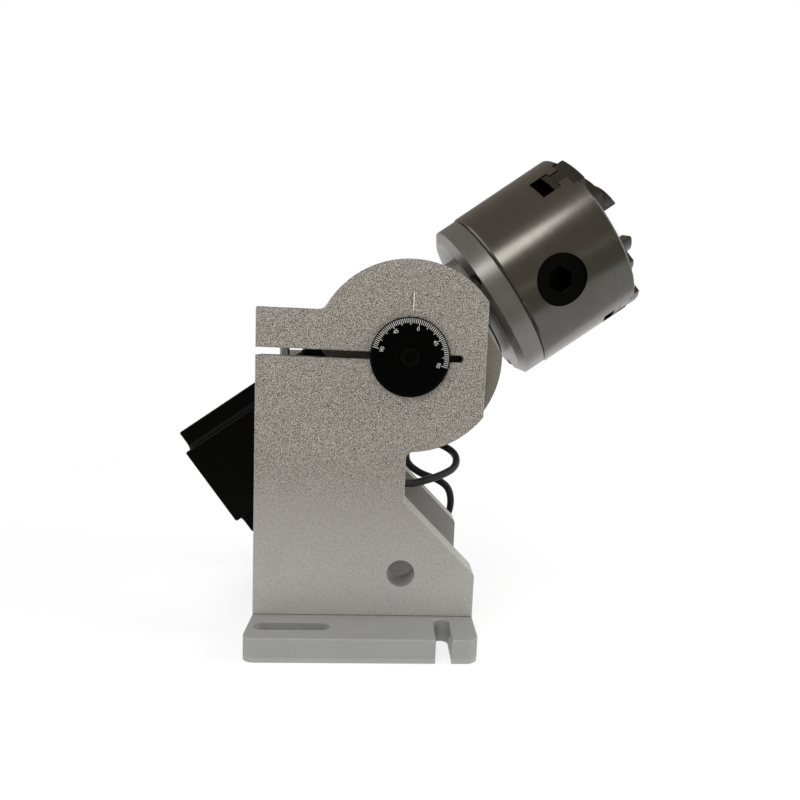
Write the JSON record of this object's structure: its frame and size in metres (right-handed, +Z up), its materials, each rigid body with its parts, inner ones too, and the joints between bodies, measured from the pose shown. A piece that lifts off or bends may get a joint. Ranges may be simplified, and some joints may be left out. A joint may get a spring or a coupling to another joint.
{
  "type": "dividing head",
  "caption": "Tilting motor-driven dividing head with two clamped side plates on a slotted base, an angle dial and a three-jaw scroll chuck.",
  "frame": {"origin": "on the base's underside, straight below the tilt axis, half way between the side plates", "axes": "+X towards the chuck end, +Y away from the dial, +Z up"},
  "size_m": [0.211, 0.2147, 0.2147],
  "materials": {
    "plate_aluminium": "bead-blasted, fine grain",
    "base_aluminium": "bead-blasted, smoother",
    "housing_aluminium": "bead-blasted",
    "chuck_steel": "ground and polished",
    "back_plate_steel": "fine turned satin",
    "jaw_steel": "hardened, ground edges",
    "black_oxide": "black oxide",
    "dial_black": "black anodised",
    "motor_black": "satin black paint",
    "screw_steel": "zinc plated",
    "bearing_steel": "ground",
    "spindle_steel": "turned",
    "rotor_iron": "ground laminations",
    "coupling_aluminium": "turned",
    "coupling_plastic": "acetal",
    "grommet_rubber": "soft rubber",
    "cable_sheath": "satin PVC",
    "plug_metal": "satin nickel plated"
  },
  "bodies": {
    "frame": {"base_plate": "base_aluminium", "near_side_plate": "plate_aluminium", "far_side_plate": "plate_aluminium", "side_plate_screws": "screw_steel", "motor_lead": "cable_sheath", "lead_coil": "cable_sheath", "lead_tail": "cable_sheath", "lead_plug": "plug_metal"},
    "near_clamp": {"near_clamp_screw": "screw_steel"},
    "far_clamp": {"far_clamp_screw": "screw_steel"},
    "head": {"head_housing": "housing_aluminium", "near_trunnion": "spindle_steel", "far_trunnion": "spindle_steel", "trunnion_screws": "black_oxide", "angle_dial": "dial_black", "dial_screw": "black_oxide", "far_cap": "dial_black", "far_cap_screw": "black_oxide", "front_cover": "spindle_steel", "cover_screws": "black_oxide", "front_bearing_outer_ring": "bearing_steel", "rear_bearing_outer_ring": "bearing_steel", "front_bearing_balls": "bearing_steel", "rear_bearing_balls": "bearing_steel", "outer_spacer": "coupling_aluminium", "motor_front_cap": "motor_black", "motor_stator": "motor_black", "motor_rear_cap": "motor_black", "motor_case_screws": "black_oxide", "motor_mount_screws": "black_oxide", "motor_bearing_outer_rings": "bearing_steel", "motor_bearing_balls": "bearing_steel", "lead_grommet": "grommet_rubber"},
    "spindle": {"spindle": "spindle_steel", "front_bearing_inner_ring": "bearing_steel", "rear_bearing_inner_ring": "bearing_steel", "inner_spacer": "spindle_steel", "locknut": "spindle_steel", "spindle_hub": "coupling_aluminium", "coupling_disc": "coupling_plastic", "motor_hub": "coupling_aluminium", "hub_grub_screws": "black_oxide", "motor_shaft": "spindle_steel", "motor_rotor": "rotor_iron", "motor_bearing_inner_rings": "bearing_steel", "back_plate": "back_plate_steel", "flange_screws": "black_oxide", "chuck_screws": "black_oxide", "chuck_body": "chuck_steel", "scroll_cover": "spindle_steel", "pinion_pins": "spindle_steel"},
    "scroll": {"scroll": "spindle_steel"},
    "jaw_1": {"jaw_1": "jaw_steel"},
    "pinion_1": {"pinion_1": "black_oxide"},
    "jaw_2": {"jaw_2": "jaw_steel"},
    "pinion_2": {"pinion_2": "black_oxide"},
    "jaw_3": {"jaw_3": "jaw_steel"},
    "pinion_3": {"pinion_3": "black_oxide"}
  },
  "joints": [
    {"name": "tilt", "type": "hinge", "parent": "frame", "child": "head", "pos_m": [0, 0, 0.122], "axis": [0, -1, 0], "range_deg": [-36, 54], "deforming": ["motor_lead"]},
    {"name": "spindle_turn", "type": "hinge", "parent": "head", "child": "spindle", "pos_m": [0, 0, 0.122], "axis": [0.809, 0, 0.5878], "continuous": true},
    {"name": "scroll_turn", "type": "hinge", "parent": "spindle", "child": "scroll", "pos_m": [0.08373, 0, 0.18284], "axis": [0.809, 0, 0.5878], "range_deg": [-360, 540]},
    {"name": "near_clamp_turn", "type": "hinge", "parent": "frame", "child": "near_clamp", "pos_m": [-0.0522, -0.042, 0.1356], "axis": [0, 0, 1], "range_deg": [0, 360]},
    {"name": "far_clamp_turn", "type": "hinge", "parent": "frame", "child": "far_clamp", "pos_m": [-0.0522, 0.042, 0.1356], "axis": [0, 0, 1], "range_deg": [0, 360]},
    {"name": "jaw_1_slide", "type": "slide", "parent": "spindle", "child": "jaw_1", "axis": [0.4264, 0.6884, -0.5868], "range_m": [-0.006, 0.009]},
    {"name": "pinion_1_turn", "type": "hinge", "parent": "spindle", "child": "pinion_1", "pos_m": [0.05914, 0, 0.16497], "axis": [-0.1372, 0.9724, 0.1889], "range_deg": [-1440, 2160]},
    {"name": "jaw_2_slide", "type": "slide", "parent": "spindle", "child": "jaw_2", "axis": [-0.5636, 0.284, 0.7757], "range_m": [-0.006, 0.009]},
    {"name": "pinion_2_turn", "type": "hinge", "parent": "spindle", "child": "pinion_2", "pos_m": [0.05914, 0, 0.16497], "axis": [-0.4264, -0.6884, 0.5868], "range_deg": [-1440, 2160]},
    {"name": "jaw_3_slide", "type": "slide", "parent": "spindle", "child": "jaw_3", "axis": [0.1372, -0.9724, -0.1889], "range_m": [-0.006, 0.009]},
    {"name": "pinion_3_turn", "type": "hinge", "parent": "spindle", "child": "pinion_3", "pos_m": [0.05914, 0, 0.16497], "axis": [0.5636, -0.284, -0.7757], "range_deg": [-1440, 2160]}
  ],
  "couplings": [
    {"joint": "jaw_1_slide", "follows": "scroll_turn", "m_per_rad": 0.00095493},
    {"joint": "pinion_1_turn", "follows": "scroll_turn", "ratio": 4},
    {"joint": "jaw_2_slide", "follows": "scroll_turn", "m_per_rad": 0.00095493},
    {"joint": "pinion_2_turn", "follows": "scroll_turn", "ratio": 4},
    {"joint": "jaw_3_slide", "follows": "scroll_turn", "m_per_rad": 0.00095493},
    {"joint": "pinion_3_turn", "follows": "scroll_turn", "ratio": 4}
  ]
}
